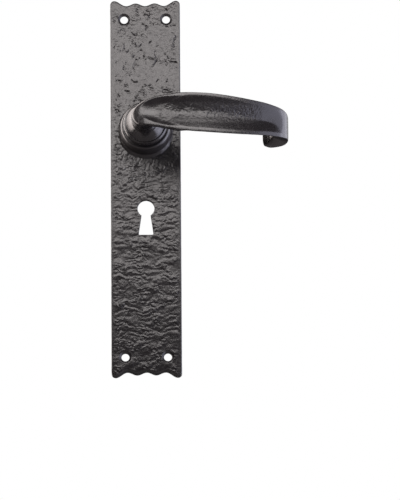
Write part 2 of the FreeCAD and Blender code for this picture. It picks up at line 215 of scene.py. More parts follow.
def rounded(path, step=0.5):
    """A path of (u, v, radius) corners as evenly spaced points with rounded corners."""
    out = [path[0][:2]]
    for (a, b, c) in zip(path, path[1:], path[2:]):
        p, q, r = Vector(a[:2]), Vector(b[:2]), Vector(c[:2])
        back, ahead = (p - q).normalized(), (r - q).normalized()
        cut = min(b[2], 0.45 * (p - q).length, 0.45 * (r - q).length)
        if cut < 0.02:
            out.append(tuple(q))
            continue
        for i in range(CURVE_STEPS + 1):
            t = i / CURVE_STEPS
            out.append(tuple((q + back * cut) * (1 - t) ** 2 + q * 2 * t * (1 - t)
                             + (q + ahead * cut) * t * t))
    out.append(path[-1][:2])
    fine = [out[0]]
    for a, b in zip(out, out[1:]):
        pieces = max(1, int(math.dist(a, b) / step))
        fine += [(a[0] + (b[0] - a[0]) * k / pieces, a[1] + (b[1] - a[1]) * k / pieces)
                 for k in range(1, pieces + 1)]
    return fine


def inside(polygon, points):
    """Which of the points lie inside a closed outline."""
    hit = np.zeros(len(points), bool)
    x, z = points[:, 0], points[:, 1]
    for (ax, az), (bx, bz) in zip(polygon, polygon[1:] + polygon[:1]):
        if az != bz:
            crosses = (az > z) != (bz > z)
            hit ^= crosses & (x < ax + (z - az) * (bx - ax) / (bz - az))
    return hit


def beyond(points, radius, x=0.0, z=0.0):
    """Which of the points lie outside a circle."""
    return np.hypot(points[:, 0] - x, points[:, 1] - z) > radius


# ---- materials ----

CAST_ROUGHER = 0.07       # how much rougher the unpolished casting is
CAST_GRAIN = 0.00026      # and the height of its grain, in metres


def new_material(name):
    """An empty material, its node tree and its main shader."""
    material = bpy.data.materials.new(name)
    material.use_nodes = True
    tree = material.node_tree
    return material, tree, tree.nodes["Principled BSDF"]


def add(tree, kind, **settings):
    """A new shader node whose inputs or own properties are set by name."""
    node = tree.nodes.new(kind)
    for key, value in settings.items():
        if key in node.inputs:
            node.inputs[key].default_value = value
        else:
            setattr(node, key, value)
    return node


def object_noise(tree, scale, detail=4.0, roughness=0.55, stretch=(1, 1, 1)):
    """Noise in the object's own space, in waves per metre, finer along a stretched axis."""
    where = add(tree, "ShaderNodeTexCoord")
    grid = add(tree, "ShaderNodeMapping")
    grid.inputs["Scale"].default_value = stretch
    grain = add(tree, "ShaderNodeTexNoise", Scale=scale, Detail=detail, Roughness=roughness)
    tree.links.new(where.outputs["Object"], grid.inputs["Vector"])
    tree.links.new(grid.outputs["Vector"], grain.inputs["Vector"])
    return grain.outputs["Fac"]


def ramp(tree, source, stops):
    """A source's value turned into a colour through stops of (position, colour)."""
    node = add(tree, "ShaderNodeValToRGB")
    while len(node.color_ramp.elements) < len(stops):
        node.color_ramp.elements.new(0.5)
    for element, (position, colour) in zip(node.color_ramp.elements, stops):
        element.position = position
        element.color = colour if len(colour) == 4 else (*colour, 1.0)
    tree.links.new(source, node.inputs["Fac"])
    return node.outputs["Color"]


def grey(v):
    return (v, v, v)


def add_bump(tree, shader, source, distance, below=None):
    """Bump of a given height in metres, on top of an earlier one if below is given."""
    node = add(tree, "ShaderNodeBump", Distance=distance, Strength=1.0)
    tree.links.new(source, node.inputs["Height"])
    if below is not None:
        tree.links.new(below, node.inputs["Normal"])
    tree.links.new(node.outputs["Normal"], shader.inputs["Normal"])
    return node.outputs["Normal"]


def coated_iron(name, rough, grain_scale, grain_depth, tints, rougher=None):
    """Satin black coating over cast iron: faint colour drift, uneven sheen, fine grain.
    The mesh's own share named by rougher says where the casting was left unpolished."""
    material, tree, shader = new_material(name)
    drift = object_noise(tree, 55.0, 5.0, 0.6)
    tree.links.new(ramp(tree, drift, tints), shader.inputs["Base Color"])
    sheen = object_noise(tree, 420.0, 3.0, 0.6)
    low, high = rough
    gloss = ramp(tree, sheen, [(0.3, grey(low)), (0.7, grey(high))])
    below = None
    if rougher:
        share = add(tree, "ShaderNodeAttribute", attribute_name=rougher)
        more = add(tree, "ShaderNodeMath", operation="MULTIPLY_ADD")
        more.inputs[1].default_value = CAST_ROUGHER
        tree.links.new(share.outputs["Fac"], more.inputs[0])
        tree.links.new(gloss, more.inputs[2])
        gloss = more.outputs["Value"]
        grains = add(tree, "ShaderNodeMath", operation="MULTIPLY")
        tree.links.new(share.outputs["Fac"], grains.inputs[0])
        tree.links.new(object_noise(tree, 800.0, 1.0, 0.5), grains.inputs[1])
        below = add_bump(tree, shader, grains.outputs["Value"], CAST_GRAIN)
    tree.links.new(gloss, shader.inputs["Roughness"])
    fine = add_bump(tree, shader, object_noise(tree, grain_scale, 3.0, 0.6), grain_depth,
                    below=below)
    add_bump(tree, shader, object_noise(tree, grain_scale * 0.3, 2.0, 0.5),
             grain_depth * 2.0, below=fine)
    shader.inputs["Specular IOR Level"].default_value = 0.6
    return material


def steel(name, colour, rough, brush=(1, 1, 1), scale=900.0):
    """Bare or plated steel with fine tool marks along one way."""
    material, tree, shader = new_material(name)
    marks = object_noise(tree, scale, 4.0, 0.6, brush)
    dark = tuple(c * 0.75 for c in colour)
    tree.links.new(ramp(tree, object_noise(tree, 130.0), [(0.3, dark), (0.7, colour)]),
                   shader.inputs["Base Color"])
    tree.links.new(ramp(tree, marks, [(0.3, grey(rough * 0.8)), (0.7, grey(rough * 1.3))]),
                   shader.inputs["Roughness"])
    add_bump(tree, shader, marks, 0.00003)
    shader.inputs["Metallic"].default_value = 1.0
    return material


def nylon(name):
    """Moulded black plastic with a faint grain."""
    material, tree, shader = new_material(name)
    drift = object_noise(tree, 200.0)
    tints = [(0.3, (0.012, 0.012, 0.013)), (0.7, (0.02, 0.02, 0.021))]
    tree.links.new(ramp(tree, drift, tints), shader.inputs["Base Color"])
    shader.inputs["Roughness"].default_value = 0.42
    add_bump(tree, shader, object_noise(tree, 2500.0), 0.00002)
    return material


def pale_floor():
    """Matt, nearly white, with a very faint drift."""
    material, tree, shader = new_material("pale_floor")
    drift = object_noise(tree, 3.0)
    tree.links.new(ramp(tree, drift, [(0.3, grey(0.80)), (0.7, grey(0.84))]),
                   shader.inputs["Base Color"])
    shader.inputs["Roughness"].default_value = 0.9
    return material


PLATE_TINTS = [(0.3, (0.011, 0.0095, 0.0098)), (0.7, (0.018, 0.0158, 0.0163))]
LEVER_TINTS = [(0.3, (0.009, 0.0078, 0.0083)), (0.7, (0.014, 0.0122, 0.0132))]
plate_black = coated_iron("plate_black", (0.28, 0.37), 1300.0, 0.00008, PLATE_TINTS)
lever_black = coated_iron("lever_black", (0.22, 0.30), 1300.0, 0.00003, LEVER_TINTS, "cast")
black_nylon = nylon("black_nylon")
cam_steel = steel("cam_steel", (0.50, 0.50, 0.49), 0.38)
cover_steel = steel("cover_steel", (0.55, 0.55, 0.53), 0.34, brush=(1, 1, 0.06))
screw_steel = steel("screw_steel", (0.55, 0.54, 0.50), 0.28)
pin_steel = steel("pin_steel", (0.52, 0.52, 0.52), 0.22, brush=(1, 0.05, 1))
spring_steel = steel("spring_steel", (0.13, 0.125, 0.13), 0.35)


# ---- the plate's cast surface ----

def wave(x, z, size_x, size_z, layer):
    """Smooth noise of about -1 to 1, with its own size in millimetres each way."""
    return noise.noise(Vector((x / size_x, z / size_z, layer)))


def crack(x, z, size, layer, half_width):
    """A thin groove with raised sides along the noise's zero line, broken into short bits."""
    across = wave(x, z, size, size, layer) * size / 1.6
    if abs(across) > 3 * half_width:
        return 0.0
    there = smooth(0.02, 0.22, wave(x, z, 0.62 * size, 0.62 * size, layer + 40.0))
    side = 0.35 * bump(abs(across), 1.7 * half_width, 1.2 * half_width)
    return there * (side - bump(across, 0.0, half_width))


def relief(x, z):
    """Height of the cast surface above the plate's nominal face, in millimetres.
    The lower part is crumpled in patches, the upper part is smoother with short cracks,
    and a narrow border along both long edges is plain. Each layer of noise has its own
    size each way, and a last number that keeps it apart from the others."""
    low_part = 1 - smooth(-48.0, -22.0, z)
    near_boss = smooth(-60.0, -20.0, z) * (1 - smooth(8.0, 38.0, z))
    warp_x = 2.2 * wave(x, z, 7, 7, 4.2) + 0.7 * wave(x, z, 2.2, 2.2, 5.2)
    warp_z = 2.2 * wave(x, z, 6, 7, 9.7) + 0.7 * wave(x, z, 2.2, 2.2, 7.2)
    u, v = x + warp_x, z + warp_z
    busy = smooth(-0.25, 0.25, wave(x, z, 11, 8, 33.0))
    broad = 0.22 * wave(x, z, 16, 10, 1.5)
    long_folds = abs(wave(u, v, 9.0, 4.0, 6.3))
    crumple = abs(wave(u, v, 3.2, 2.1, 8.1)) + 0.6 * abs(wave(u, v, 1.9, 1.3, 14.0))
    folds = long_folds * (0.08 + 0.42 * low_part + 0.16 * near_boss)
    folds += crumple * (0.10 + 0.16 * busy + low_part * (0.05 + 0.28 * busy)
                        + 0.22 * near_boss)
    grain = 0.05 * wave(x, z, 1.2, 1.0, 12.0) * (0.4 + busy)
    upper = 1 - smooth(30.0, 44.0, -z)
    marks = 0.32 * crack(u, v, 7.0, 51.0, 0.34) + 0.26 * crack(u, v, 3.4, 73.0, 0.28) * busy
    plain = smooth(0.8, 3.4, HALF_W - abs(x))
    return -0.32 + broad + plain * (folds + grain + upper * marks)


def scallop(x):
    """How far the plate's wavy end lies in from its ears at a given X."""
    share = abs(x) / EAR_X
    if share < HOLLOW_SHARE:
        dip = 0.5 + 0.5 * math.cos(2 * math.pi * share / HOLLOW_SHARE)
        return POINT_DIP + (HOLLOW_DIP - POINT_DIP) * dip
    rise = min((share - HOLLOW_SHARE) / (1 - HOLLOW_SHARE), 1.0)
    return HOLLOW_DIP * (0.5 + 0.5 * math.cos(math.pi * rise))


def plate_edge():
    """Points round the plate, clockwise from the upper left ear, and their normals."""
    points = []

    def wavy(xs, z_of):
        points.extend((x, z_of(x)) for x in xs)

    def arc(cx, cz, start):
        for i in range(1, 6):
            a = math.radians(start - 90 * i / 6)
            points.append((cx + CORNER_R * math.cos(a), cz + CORNER_R * math.sin(a)))

    across = np.linspace(-EAR_X, EAR_X, int(2 * EAR_X / EDGE_STEP))
    down = np.linspace(TOP - CORNER_R, BOTTOM + CORNER_R, int((TOP - BOTTOM) / EDGE_STEP))
    wavy(across, lambda x: TOP - scallop(x))
    arc(EAR_X, TOP - CORNER_R, 90)
    points.extend((HALF_W, z) for z in down)
    arc(EAR_X, BOTTOM + CORNER_R, 0)
    wavy(across[::-1], lambda x: BOTTOM + scallop(x))
    arc(-EAR_X, BOTTOM + CORNER_R, 270)
    points.extend((-HALF_W, z) for z in down[::-1])
    arc(-EAR_X, TOP - CORNER_R, 180)
    p = np.array(points, float)
    along = np.roll(p, -1, 0) - np.roll(p, 1, 0)
    along /= np.linalg.norm(along, axis=1)[:, None]
    return p, np.c_[-along[:, 1], along[:, 0]]


def edge_ring(points, normals, inset):
    """The edge drawn in by an inset, slightly uneven as cast metal is."""
    ring = []
    for (x, z), (nx, nz) in zip(points, normals):
        wobble = 0.04 + 0.06 * noise.noise(Vector((x / 6, z / 6, 3.0)))
        ring.append((x - nx * (inset + wobble), z - nz * (inset + wobble)))
    return ring


def hollow_outline():
    """The rounded rectangle of the plate's open back."""
    half, top, foot = HALF_W - FACE_T, TOP - END_WALL_T, BOTTOM + END_WALL_T
    corners = [(half, top), (half, foot), (-half, foot), (-half, top)]
    path = [(0, top, 0)] + [(*c, HOLLOW_CORNER_R) for c in corners] + [(0, top, 0)]
    return rounded(path, 2.0)[:-1]


def keyhole_shape():
    """Round above a flaring slot, as one closed outline."""
    start = math.degrees(math.asin(KEY_NECK[0] / KEY_R))
    arc = []
    for i in range(45):
        a = math.radians(start - 90 + (360 - 2 * start) * i / 44)
        arc.append((KEY_R * math.cos(a), KEY_Z + KEY_R * math.sin(a)))
    slot = [(*arc[-1], 0)]
    slot += [(-half, z, r) for half, z, r in KEY_SIDE]
    slot += [(half, z, r) for half, z, r in KEY_SIDE[::-1]]
    slot += [(*arc[0], 0)]
    return arc + rounded(slot, 0.7)[1:-1]


def grown(outline, out):
    """A closed outline moved outwards, point by point."""
    p = np.array(outline, float)
    along = np.roll(p, -1, 0) - np.roll(p, 1, 0)
    along /= np.linalg.norm(along, axis=1)[:, None]
    return [tuple(q) for q in p + out * np.c_[along[:, 1], -along[:, 0]]]


def grid_points(step, allowed):
    """A staggered grid over the plate, a little uneven so that no rows show."""
    points, row, z = [], 0, BOTTOM
    while z < TOP:
        shift = step / 2 if row % 2 else 0.0
        for x in np.arange(shift - HALF_W, HALF_W, step):
            jitter = noise.noise_vector(Vector((x * 3.1, z * 3.7, 0.5))) * 0.22 * step
            points.append((x + jitter.x, z + jitter.y))
        z += step * 0.866
        row += 1
    points = np.array(points)
    return points[allowed(points)]


def boss_path():
    """Radius and height above the face, from the plate up to the bush's hole."""
    height = BOSS_FACE - PLATE_DEPTH
    path = [(BOSS_ROOT_R, 0.0, 0), (18.9, 0.25, 0.5), (18.45, 2.6, 1.5), (18.1, 6.0, 3.0),
            (17.7, 9.0, 2.0), (17.3, 10.8, 1.0), (16.3, height, 1.9), (14.0, height, 0.5),
            (13.2, height - 0.6, 0.4), (SLEEVE_HOLE_R, height - 0.6, 0)]
    return rounded(path, 0.5)


def face_point(x, z, share=1.0, down=0.0):
    """A point of the front face, with a share of the cast relief, sunk by a depth."""
    return (x, -(PLATE_DEPTH + share * relief(x, z) - down), z)


def plate_rim(shell, points, normals):
    """Loops from the front face's border over the rounded edge to the open back."""
    shoulder = PLATE_DEPTH - EDGE_R
    rims = []
    for k in range(6):
        a = 0.5 * math.pi * k / 5
        inset, depth = EDGE_R * (1 - math.sin(a)), shoulder + EDGE_R * math.cos(a)
        share = 1 - k / 5
        ring = edge_ring(points, normals, inset)
        rims.append(shell.loop([(x, -(depth + share * relief(x, z)), z) for x, z in ring]))
    for depth in (7.0, 5.0, 3.0, 1.0, 0.25):
        ring = edge_ring(points, normals, 0.0)
        rims.append(shell.loop(at_depth(ring, depth)))
    rims.append(shell.loop(at_depth(edge_ring(points, normals, BACK_BREAK), 0.0)))
    shell.chain(rims)
    return rims


def screw_hole(shell, cx, cz):
    """Loops of one countersunk hole, from the front face to the inner one."""
    sink = rounded([(SINK_R, 0.0, 0), (CSK_R, 0.05, 0.4), (SCREW_R, 1.25, 0.4),
                    (SCREW_R, FACE_T, 0)], 0.4)
    loops = []
    for r, down in sink:
        share = max(0.0, 1 - down / 1.2)
        loops.append(shell.loop([face_point(x, z, share, down)
                                 for x, z in circle(r, 48, cx, cz)]))
    shell.chain(loops)
    return loops


def key_hole(shell, key):
    """Loops of the keyhole, from its rounded front edge to the inner face."""
    loops = []
    for grow, down, share in ((KEY_EDGE, 0.0, 1.0), (0.12, 0.12, 0.9), (0.0, 0.4, 0.6),
                              (0.0, 1.2, 0.0), (0.0, FACE_T, 0.0)):
        loops.append(shell.loop([face_point(x, z, share, down) for x, z in grown(key, grow)]))
    shell.chain(loops)
    return loops


def boss(shell):
    """Loops up the boss, down the bush's hole and out round the spring's cavity."""
    loops = []
    for r, up in boss_path():
        share = max(0.0, 1 - up / 1.5) if r > 17 else 0.0
        rough = 0.05 if r > BOSS_SMOOTH_R else 0.0
        ring = []
        for x, z in circle(r):
            swell = rough * noise.fractal(Vector((x / 5, z / 5, up / 4)), 0.8, 2.0, 3)
            swell += BOSS_FOOT * smooth(2.5, 0.0, up) * smooth(0.1, -0.9, z / r)
            lift = share * relief(x, z) * (1.0 if up < 0.3 else 0.5)
            scale = 1 + swell / r
            ring.append((x * scale, -(PLATE_DEPTH + up + lift), z * scale))
        loops.append(shell.loop(ring))
    cavity = [(SLEEVE_HOLE_R, CAVITY_END), (CAVITY_R, CAVITY_END), (CAVITY_R, INNER)]
    for r, depth in rounded([(*p, 0.3) for p in cavity], 2.0):
        loops.append(shell.loop(at_depth(circle(r), depth)))
    shell.chain(loops)
    return loops


def pillar(shell, cz):
    """The foot loop of a pillar that takes one of the cover plate's screws."""
    path = rounded([(PILLAR_ROOT_R, INNER, 0), (PILLAR_R, INNER - 0.2, 0.8),
                    (PILLAR_R - 0.1, PILLAR_END + 0.1, 0.1),
                    (PILLAR_R - 0.3, PILLAR_END, 0)], 1.0)
    loops = [shell.loop(at_depth(circle(r, 40, 0.0, cz), d)) for r, d in path]
    shell.chain(loops)
    shell.fan(loops[-1], (0.0, -PILLAR_END, cz))
    return loops[0]


def inner_face(x, z):
    """A point of the hollow back's floor, faintly wavy away from the side walls."""
    from_wall = smooth(0.0, 3.0, HALF_W - FACE_T - abs(x))
    lift = 0.25 * from_wall * noise.noise(Vector((x / 9, z / 9, 30.0)))
    return (x, -(INNER + lift), z)


def plate_mesh():
    """The whole plate casting: front, edge, holes, boss, cavity and hollow back."""
    shell = Shell()
    points, normals = plate_edge()
    rims = plate_rim(shell, points, normals)
    holes = [screw_hole(shell, cx, cz) for cx, cz in SCREWS]
    key = keyhole_shape()
    key_loops = key_hole(shell, key)
    boss_loops = boss(shell)

    # front face, between the border, the holes and the boss's foot
    border = edge_ring(points, normals, EDGE_R)
    border_inner = edge_ring(points, normals, EDGE_R + 0.5 * FACE_STEP)
    foot = [(p[0], p[2]) for p in (shell.points[i] for i in boss_loops[0])]

    def clear(p, gap, edge):
        ok = ~inside(foot, p) if gap == 0 else beyond(p, BOSS_ROOT_R + BOSS_FOOT + gap)
        for cx, cz in SCREWS:
            ok &= beyond(p, SINK_R + gap, cx, cz)
        ok[ok] &= ~inside(grown(key, KEY_EDGE + gap), p[ok])
        ok[ok] &= inside(edge, p[ok])
        return ok

    spots = grid_points(FACE_STEP, lambda p: clear(p, 0.4 * FACE_STEP, border_inner))
    fronts = [loops[0] for loops in holes] + [key_loops[0], boss_loops[0]]
    shell.fill(rims[0], fronts, spots, face_point, lambda p: clear(p, 0.0, border))

    # open back: rim, wall, inner face with the pillars
    hollow = hollow_outline()
    walls = [shell.loop(at_depth(hollow, d)) for d in (0.0, 2.5, 5.0, INNER)]
    shell.chain(walls)
    back_edge = edge_ring(points, normals, BACK_BREAK)
    shell.fill(rims[-1], [walls[0]], [], face_point,
               lambda p: inside(back_edge, p) & ~inside(hollow, p))
    pillar_feet = [pillar(shell, cz) for cz in (-PILLAR_Z, PILLAR_Z)]

    def inner_clear(p, gap=0.0):
        ok = beyond(p, CAVITY_R + gap) & inside(hollow, p) & ~inside(grown(key, gap), p)
        for cx, cz in SCREWS:
            ok &= beyond(p, SCREW_R + gap, cx, cz)
        for cz in (-PILLAR_Z, PILLAR_Z):
            ok &= beyond(p, PILLAR_ROOT_R + gap, 0.0, cz)
        return ok

    backs = [loops[-1] for loops in holes] + [key_loops[-1], boss_loops[-1]]
    inner_spots = grid_points(BACK_STEP, lambda p: inner_clear(p, 0.8))
    shell.fill(walls[-1], backs + pillar_feet, inner_spots, inner_face, inner_clear)
    return shell


# ---- the lever's surface ----

# One station per line along the grip, from the neck to the curled end: X and height
# above the plate's face of the section's centre, heading (90 straight out from the
# plate, 0 along +X), thickness, top and bottom Z.
STATIONS = [
    (-0.5, 30.0, 90, 16.8, 8.4, -8.4),
    (-0.6, 35.2, 88, 16.6, 8.4, -8.4),
    (0.4, 41.5, 74, 16.8, 9.0, -9.2),
    (3.5, 45.9, 48, 15.8, 10.3, -10.2),
    (10.1, 48.8, 22, 13.9, 11.5, -12.0),
    (18.3, 51.1, 8, 12.4, 12.2, -13.8),
    (30.8, 52.1, 1, 12.5, 12.5, -15.5),
    (44.3, 51.5, -5, 12.3, 12.0, -16.4),
    (57.8, 49.2, -12, 11.0, 10.8, -16.7),
    (71.3, 45.8, -18, 10.0, 9.1, -16.6),
    (83.4, 41.1, -31, 9.9, 7.3, -16.2),
    (91.9, 34.5, -56, 11.0, 5.0, -15.9),
    (94.6, 27.2, -88, 12.0, 2.2, -15.7),
    (92.8, 20.8, -122, 11.8, 1.0, -17.2),
    (87.4, 17.9, -152, 7.1, 0.6, -18.0),
    (83.8, 17.7, -168, 3.5, -0.1, -17.0),
]
# Round the bend, X and height above the plate's face of the rim and of the hollow's floor.
RIM_LINE = [(-14.0, 41.0), (-7.3, 47.2), (0.2, 52.2), (7.7, 55.0), (14.9, 56.8),
            (22.0, 57.9), (30.8, 58.3)]
FLOOR_LINE = [(-14.0, 46.0), (-4.8, 48.9), (0.0, 50.3), (5.0, 51.8), (10.0, 53.3),
              (18.0, 55.1), (30.8, 56.2)]
HOLLOW_DEPTH = 2.7        # the hollow beyond the bend
OPEN_DEPTH = 25.0         # further out than any front, which then cuts the section off
NECK_X, NECK_LENGTH, NECK_R = -0.6, 8.8, 8.4
OVAL_HEIGHTS = (36.0, 47.0)   # where the neck starts to be an oval, and where it is one
OVAL_LEFT = -9.6          # the rounded left end's furthest point
OVAL_X = (21.0, 1.0)      # where the end's rounding starts, above and below
OVAL_HALF = (12.0, 9.8)
# How much wider it gets further along, above and below, as X and width.
UPPER_GROWTH = [(18.0, 0.0), (31.0, 0.5)]
LOWER_GROWTH = [(1.0, 0.0), (10.0, 2.1), (17.0, 3.8), (27.0, 5.3), (31.0, 5.7)]
SIDE_DRAFT = 0.25         # how fast the long sides draw in towards the grip's back
TIP_DOME = 1.2            # how far the curled end's dome stands out
HOLLOW_X, HOLLOW_LEFT = 13.6, -5.0   # the hollow's round left end starts and ends here
HOLLOW_RISE = 2.6         # how late and steeply that end rises to the rim

# Neck and collar: radius, distance out from the bead's rear face, corner rounding.
COLLAR = [(SHANK_R, 0.0, 0), (13.6, 0.0, 0.6), (15.1, 0.9, 1.0), (15.6, 2.6, 1.5),
          (15.6, 5.2, 1.2), (14.7, 6.9, 0.8), (13.7, 7.0, 0.5), (11.9, 9.0, 1.6),
          (10.3, 11.3, 2.0), (9.2, 13.6, 2.0), (8.6, 16.5, 0)]


def spline(rows, steps):
    """Catmull-Rom through rows of numbers, each span cut into steps by its length."""
    rows = [np.array(r, float) for r in rows]
    rows = [2 * rows[0] - rows[1]] + rows + [2 * rows[-1] - rows[-2]]
    out = []
    for a, b, c, d in zip(rows, rows[1:], rows[2:], rows[3:]):
        length = math.dist(b[:2], c[:2]) + 0.06 * abs(b[2] - c[2])
        count = max(2, int(length / steps))
        for k in range(count):
            t = k / count
            out.append(0.5 * (2 * b + (c - a) * t + (2 * a - 5 * b + 4 * c - d) * t * t
                              + (3 * b - a - 3 * c + d) * t ** 3))
    out.append(rows[-2])
    return out


def eased(line, width=5.0):
    """A line through corners as a fine table with its corners rounded over a width."""
    xs = np.arange(line[0][0], line[-1][0], 0.25)
    heights = np.interp(xs, *zip(*line))
    window = np.hanning(int(width / 0.25) | 1)
    padded = np.pad(heights, len(window) // 2, mode="reflect", reflect_type="odd")
    return xs, np.convolve(padded, window / window.sum(), mode="valid")


RIM, FLOOR = eased(RIM_LINE), eased(FLOOR_LINE)


def smoothed(values, low, high):
    """Like smooth, for an array."""
    t = np.clip((values - low) / (high - low), 0, 1)
    return t * t * (3 - 2 * t)


def oval_width(height, x, upper):
    """Half width of the grip's rounded left end above or below its middle, at a given X.
    It grows with the height from the round neck into half of a long oval."""
    share = smoothed(height, *OVAL_HEIGHTS)
    start = np.where(upper, *OVAL_X)
    centre = NECK_X + (start - NECK_X) * share
    length = NECK_LENGTH + (start - OVAL_LEFT - NECK_LENGTH) * share
    width = NECK_R + (np.where(upper, *OVAL_HALF) - NECK_R) * share
    growth = np.where(upper, np.interp(x, *zip(*UPPER_GROWTH)), np.interp(x, *zip(*LOWER_GROWTH)))
    behind = np.maximum(np.interp(x, *RIM) - height, 0)
    along = np.minimum(x - centre, 0) / length
    width = width * np.sqrt(np.maximum(1 - along ** 2, 0))
    return width + growth * share - SIDE_DRAFT * behind * share * smoothed(x, -4.0, 8.0)


def middle_line(x):
    """Height of the grip's middle above the plate's face at a given X."""
    line = [(row[0], row[1]) for row in STATIONS[2:13]]
    return np.interp(x, *zip(*line))


def lips(x):
    """Width of the rim's flat lip above and below the hollow."""
    upper = 2.2 + 1.4 * smooth(48.0, 88.0, x)
    lower = 2.3 + 0.6 * smooth(60.0, 88.0, x)
    return upper, lower


def bend_front(x, z):
    """Height of the hollow front where the grip bends out of the neck."""
    upper, lower = lips(0.0)
    top = OVAL_HALF[0] + np.interp(x, *zip(*UPPER_GROWTH)) - upper
    bottom = OVAL_HALF[1] + np.interp(x, *zip(*LOWER_GROWTH)) - lower
    middle, half = (top - bottom) / 2, (top + bottom) / 2
    out = np.hypot(np.minimum(x - HOLLOW_X, 0) / (HOLLOW_X - HOLLOW_LEFT), (z - middle) / half)
    rim, base = np.interp(x, *RIM), np.interp(x, *FLOOR)
    return base + (rim - base) * np.minimum(out, 1.0) ** HOLLOW_RISE


def reach(is_inside, rays, far=45.0, halvings=24):
    """How far each ray from a section's centre stays inside, found by halving."""
    low, high = np.zeros(rays), np.full(rays, far)
    for _ in range(halvings):
        middle = (low + high) / 2
        held = is_inside(middle)
        low, high = np.where(held, middle, low), np.where(held, high, middle)
    return low


def smaller(a, b, blend):
    """The smaller of two distances, with the change from one to the other rounded off."""
    return 0.5 * (a + b - np.sqrt((a - b) ** 2 + blend * blend))


def section(station):
    """Points round the grip at one station, starting on the outer side, towards +Z."""
    x, height, heading, thick, top, bottom = station
    a = math.radians(heading)
    nx, nh = -math.sin(a), math.cos(a)
    elbow = smooth(1.0, 6.0, heading)
    # how rounded the edges round the front are: more in the elbow and the curl
    blend = (0.6 + 0.5 * elbow + 0.2 * smooth(15.0, 45.0, -heading)
             + 0.9 * smooth(60.0, 130.0, -heading))

    # in the elbow the oval sets the width, further along the station's own top and bottom
    above, below = oval_width(height, x, True), oval_width(height, x, False)
    top, bottom = top + (above - top) * elbow, bottom - (below + bottom) * elbow
    half_t, half_z, middle = thick / 2, (top - bottom) / 2, (top + bottom) / 2

    # rays with even steps round the section rather than even angles
    flat = 1 - smooth(25.0, 70.0, heading)
    t = 2 * math.pi * np.arange(TURN_STEPS) / TURN_STEPS
    spread = 1 - 0.45 * flat
    c = np.sign(np.cos(t)) * np.abs(np.cos(t)) ** spread * half_t
    s = np.sign(np.sin(t)) * np.abs(np.sin(t)) ** spread * half_z
    size = np.hypot(c, s)
    c, s = c / size, s / size

    # the body: round in the neck, squarer in the grip, and open towards the front
    power = 2.0 + 2.6 * flat
    depth = np.where(c > 0, OPEN_DEPTH, half_t)
    wide = np.where(c > 0, half_z + elbow * 1.2 * SIDE_DRAFT * half_t, half_z)
    body = (np.abs(c / depth) ** power + np.abs(s / wide) ** power) ** (-1 / power)

    outer = c > 0.02
    co, so, bo = c[outer], s[outer], body[outer]

    def in_oval(r):
        z = middle + so * r
        return np.abs(z) < oval_width(height + nh * co * r, x + nx * co * r, z > 0)

    def under_front(r):
        return height + nh * co * r < bend_front(x + nx * co * r, middle + so * r)

    if elbow > 0:
        bo = np.minimum(bo, reach(in_oval, len(co)) / elbow)

    # the front: two lips with the hollow between them
    upper, lower = lips(x)
    across = so * half_t / co + (upper - lower) / 2
    out = np.minimum(np.abs(across) / (half_z - (upper + lower) / 2), 1.0)
    hollow = HOLLOW_DEPTH * (1 - smooth(28.0, 62.0, -heading))
    front = (half_t - hollow * (1 - out ** 2.3)) / co
    bend = 1 - smooth(14.0, 28.0, x) if heading > 0 else 0.0
    if bend > 0:
        front = front * (1 - bend) + bend * reach(under_front, len(co))
    body[outer] = smaller(bo, front, blend)

    along, up = body * c, body * s
    up = up * (1 - SIDE_DRAFT * (1 - elbow) * np.maximum(half_t - along, 0) / half_z)
    return list(zip(x + nx * along, -(PLATE_DEPTH + height + nh * along), middle + up))


def left_cast(x, y, z):
    """How much of the unpolished casting shows: most of it in the hollow's middle."""
    ahead = -y - PLATE_DEPTH - middle_line(x)
    front = smooth(0.5, 2.0, ahead) * smooth(5.0, 12.0, x) * (1 - smooth(76.0, 86.0, x))
    return front * smooth(6.5, 3.0, z) * smooth(-9.5, -6.0, z)


def dimples(x, y, z):
    """A granular cast texture down the middle of the grip's hollow, faint elsewhere."""
    ahead = -y - PLATE_DEPTH - middle_line(x)
    u = x + 0.8 * wave(x, z, 3.0, 3.0, 2.0)
    grains = abs(wave(u, z, 1.7, 1.3, 8.8)) + 0.9 * abs(wave(x, z, 1.0, 0.95, 17.0))
    patches = 0.45 + 0.55 * smooth(-0.2, 0.25, wave(x, z, 6.0, 4.0, 27.0))
    broad = wave(x, z, 7.0, 3.2, 5.0)
    cast = wave(x, z + y, 5.0, 5.0, 3.0)
    return left_cast(x, y, z) * (0.55 * patches * (grains - 0.5) + 0.14 * broad) + 0.05 * cast


def squared(radius, flat_half):
    """A circle cut to two flats across Z."""
    return [(x, min(max(z, -flat_half), flat_half)) for x, z in circle(radius)]


def around(flat):
    """The same ring, started on the -X side and turned towards +Z, as the grip's are."""
    half = TURN_STEPS // 2
    return [flat[(half - i) % TURN_STEPS] for i in range(TURN_STEPS)]


def square(half):
    """A square with as many points round it as a circle has."""
    points = []
    for x, z in circle(1.0):
        grow = half / max(abs(x), abs(z))
        points.append((x * grow, z * grow))
    return points


def grip_stations():
    """Even stations from just past the neck's last ring to the curled end."""
    past_neck = COLLAR_BACK - PLATE_DEPTH + COLLAR[-1][1] + 0.5
    return [s for s in spline(STATIONS, 0.5) if s[1] > past_neck or s[0] > 5]


def cast_section(station):
    """A grip section with each point lifted by the cast texture."""
    points = []
    for x, y, z in section(station):
        away = Vector((x - station[0], y + PLATE_DEPTH + station[1], z))
        away.normalize()
        points.append(tuple(Vector((x, y, z)) + away * dimples(x, y, z)))
    return points


